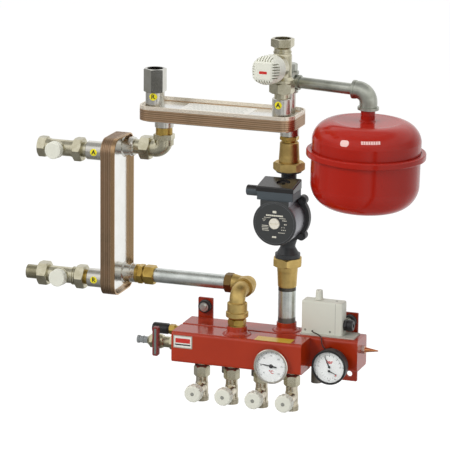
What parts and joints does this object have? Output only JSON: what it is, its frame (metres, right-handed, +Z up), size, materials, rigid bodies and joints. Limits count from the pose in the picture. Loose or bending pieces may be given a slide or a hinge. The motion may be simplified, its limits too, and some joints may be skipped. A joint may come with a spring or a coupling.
{
  "type": "underfloor heating manifold",
  "caption": "Wall-hung floor heating manifold: two red header boxes, pump riser, two brazed plate exchangers, round expansion vessel, gauges, thermostat and circuit valves.",
  "frame": {"origin": "midway between the two upper wall screws, on the wall plane where the rubber feet of the straps rest", "axes": "+Z up, +X to the right along the header boxes, +Y into the wall; the front faces -Y"},
  "size_m": [0.7753, 0.2619, 0.709],
  "materials": {
    "red_enamel": "smooth gloss paint",
    "vessel_red": "high gloss powder coat",
    "nickel": "satin nickel plating",
    "stainless": "smooth rolled stainless steel",
    "copper_brazed": "stainless edges with copper braze",
    "brass": "raw cast and turned brass",
    "galvanised": "galvanised",
    "malleable": "galvanised casting",
    "pump_black": "dark paint on casting",
    "pump_grey": "dark satin paint",
    "dark_plastic": "black moulded plastic",
    "white_plastic": "white moulded plastic",
    "grey_plastic": "light grey moulded plastic",
    "red_plastic": "red moulded plastic",
    "chromed": "polished chrome",
    "dial_white": "white printed dial",
    "pointer_black": "matt black",
    "clear_glass": "clear flat glass",
    "rubber": "moulded rubber",
    "zinc_screw": "zinc plated",
    "gasket": "fibre sealing ring",
    "outlet_brown": "dark weathered steel",
    "capillary": "black sheathed copper capillary"
  },
  "bodies": {
    "manifold": {"brass_elbow_front": "brass", "brass_elbow_rear": "brass", "brass_nipples": "brass", "capillary_tube": "capillary", "compression_fittings": "brass", "drain_valve_body": "nickel", "exchanger_cover_plates": "stainless", "exchanger_port_stubs": "stainless", "flat_gaskets": "gasket", "front_header_box": "red_enamel", "gauge_dials": "dial_white", "gauge_glasses": "clear_glass", "header_collars_and_plates": "red_enamel", "level_plate_pack": "copper_brazed", "manometer_case": "dark_plastic", "nickel_elbow": "nickel", "outlet_valve_bodies": "nickel", "pump_head_screws": "pump_black", "pump_motor_housing": "pump_grey", "pump_rotor_can": "stainless", "pump_terminal_box": "pump_black", "pump_union_bodies": "brass", "pump_union_nuts": "brass", "pump_volute": "pump_black", "rear_header_box": "red_enamel", "rear_outlets": "outlet_brown", "return_coupling": "nickel", "return_valve_body": "nickel", "rubber_isolators": "rubber", "sensor_pocket": "brass", "steel_pipes": "galvanised", "supply_valve_body": "nickel", "thermometer_case": "chromed", "thermostat_base": "dark_plastic", "thermostat_case": "grey_plastic", "thermostatic_valve_body": "nickel", "union_nuts": "nickel", "union_tails": "nickel", "upright_plate_pack": "copper_brazed", "vessel_arm": "malleable", "vessel_diaphragm": "rubber", "vessel_shells": "vessel_red", "wall_screws": "zinc_screw", "wall_straps": "red_enamel"},
    "thermostatic_head": {"thermostatic_head": "white_plastic"},
    "thermostatic_stem": {"thermostatic_valve_stem": "zinc_screw"},
    "supply_cap": {"supply_valve_cap": "white_plastic"},
    "return_cap": {"return_valve_cap": "white_plastic"},
    "pump_rotor": {"pump_rotor": "zinc_screw"},
    "pump_vent": {"pump_vent_screw": "chromed"},
    "drain_handle": {"drain_handle": "red_plastic"},
    "air_vent_cap": {"air_vent_cap": "dark_plastic"},
    "thermostat_knob": {"thermostat_knob": "grey_plastic"},
    "thermometer_pointer": {"thermometer_pointer": "pointer_black"},
    "pressure_pointer": {"pressure_pointer": "pointer_black"},
    "temperature_pointer": {"temperature_pointer": "pointer_black"},
    "hand_cap_1": {"hand_cap_1": "white_plastic"},
    "hand_cap_2": {"hand_cap_2": "white_plastic"},
    "hand_cap_3": {"hand_cap_3": "white_plastic"},
    "hand_cap_4": {"hand_cap_4": "white_plastic"}
  },
  "joints": [
    {"name": "head_turn", "type": "hinge", "parent": "manifold", "child": "thermostatic_head", "pos_m": [0.0283, -0.087, 0.4971], "axis": [0, -0.9954, 0.0958], "range_deg": [-150, 150]},
    {"name": "stem_slide", "type": "slide", "parent": "manifold", "child": "thermostatic_stem", "axis": [0, -0.9954, 0.0958], "range_m": [-0.0025, 0.0025]},
    {"name": "supply_cap_turn", "type": "hinge", "parent": "manifold", "child": "supply_cap", "pos_m": [-0.4167, -0.087, 0.3065], "axis": [0, -1, 0], "range_deg": [0, 1080]},
    {"name": "return_cap_turn", "type": "hinge", "parent": "manifold", "child": "return_cap", "pos_m": [-0.4097, -0.087, 0.0565], "axis": [0, -1, 0], "range_deg": [0, 1080]},
    {"name": "rotor_spin", "type": "hinge", "parent": "manifold", "child": "pump_rotor", "pos_m": [0.0283, -0.037, 0.205], "axis": [0, -1, 0], "continuous": true},
    {"name": "vent_screw_turn", "type": "hinge", "parent": "manifold", "child": "pump_vent", "pos_m": [0.0283, -0.037, 0.205], "axis": [0, -1, 0], "range_deg": [0, 720]},
    {"name": "drain_turn", "type": "hinge", "parent": "manifold", "child": "drain_handle", "pos_m": [-0.2057, -0.097, -0.053], "axis": [0, -1, 0], "range_deg": [0, 90]},
    {"name": "air_vent_cap_turn", "type": "hinge", "parent": "manifold", "child": "air_vent_cap", "pos_m": [-0.2077, -0.037, -0.045], "axis": [-1, 0, 0], "range_deg": [0, 720]},
    {"name": "knob_turn", "type": "hinge", "parent": "manifold", "child": "thermostat_knob", "pos_m": [0.0923, -0.03675, 0.044], "axis": [0, 0, 1], "range_deg": [-135, 135]},
    {"name": "thermometer_needle", "type": "hinge", "parent": "manifold", "child": "thermometer_pointer", "pos_m": [0.0303, -0.139, -0.067], "axis": [0, 1, 0], "range_deg": [-50, 215]},
    {"name": "pressure_needle", "type": "hinge", "parent": "manifold", "child": "pressure_pointer", "pos_m": [0.1338, -0.105, -0.067], "axis": [0, 1, 0], "range_deg": [-65, 115]},
    {"name": "temperature_needle", "type": "hinge", "parent": "manifold", "child": "temperature_pointer", "pos_m": [0.1338, -0.105, -0.075], "axis": [0, 1, 0], "range_deg": [-10, 130]},
    {"name": "hand_cap_1_turn", "type": "hinge", "parent": "manifold", "child": "hand_cap_1", "pos_m": [-0.1202, -0.097, -0.134], "axis": [0, -1, 0], "range_deg": [0, 1080]},
    {"name": "hand_cap_2_turn", "type": "hinge", "parent": "manifold", "child": "hand_cap_2", "pos_m": [-0.0602, -0.097, -0.134], "axis": [0, -1, 0], "range_deg": [0, 1080]},
    {"name": "hand_cap_3_turn", "type": "hinge", "parent": "manifold", "child": "hand_cap_3", "pos_m": [-0.0002, -0.097, -0.134], "axis": [0, -1, 0], "range_deg": [0, 1080]},
    {"name": "hand_cap_4_turn", "type": "hinge", "parent": "manifold", "child": "hand_cap_4", "pos_m": [0.0598, -0.097, -0.134], "axis": [0, -1, 0], "range_deg": [0, 1080]}
  ],
  "couplings": [
    {"joint": "stem_slide", "follows": "head_turn", "m_per_rad": 0.00095397}
  ]
}
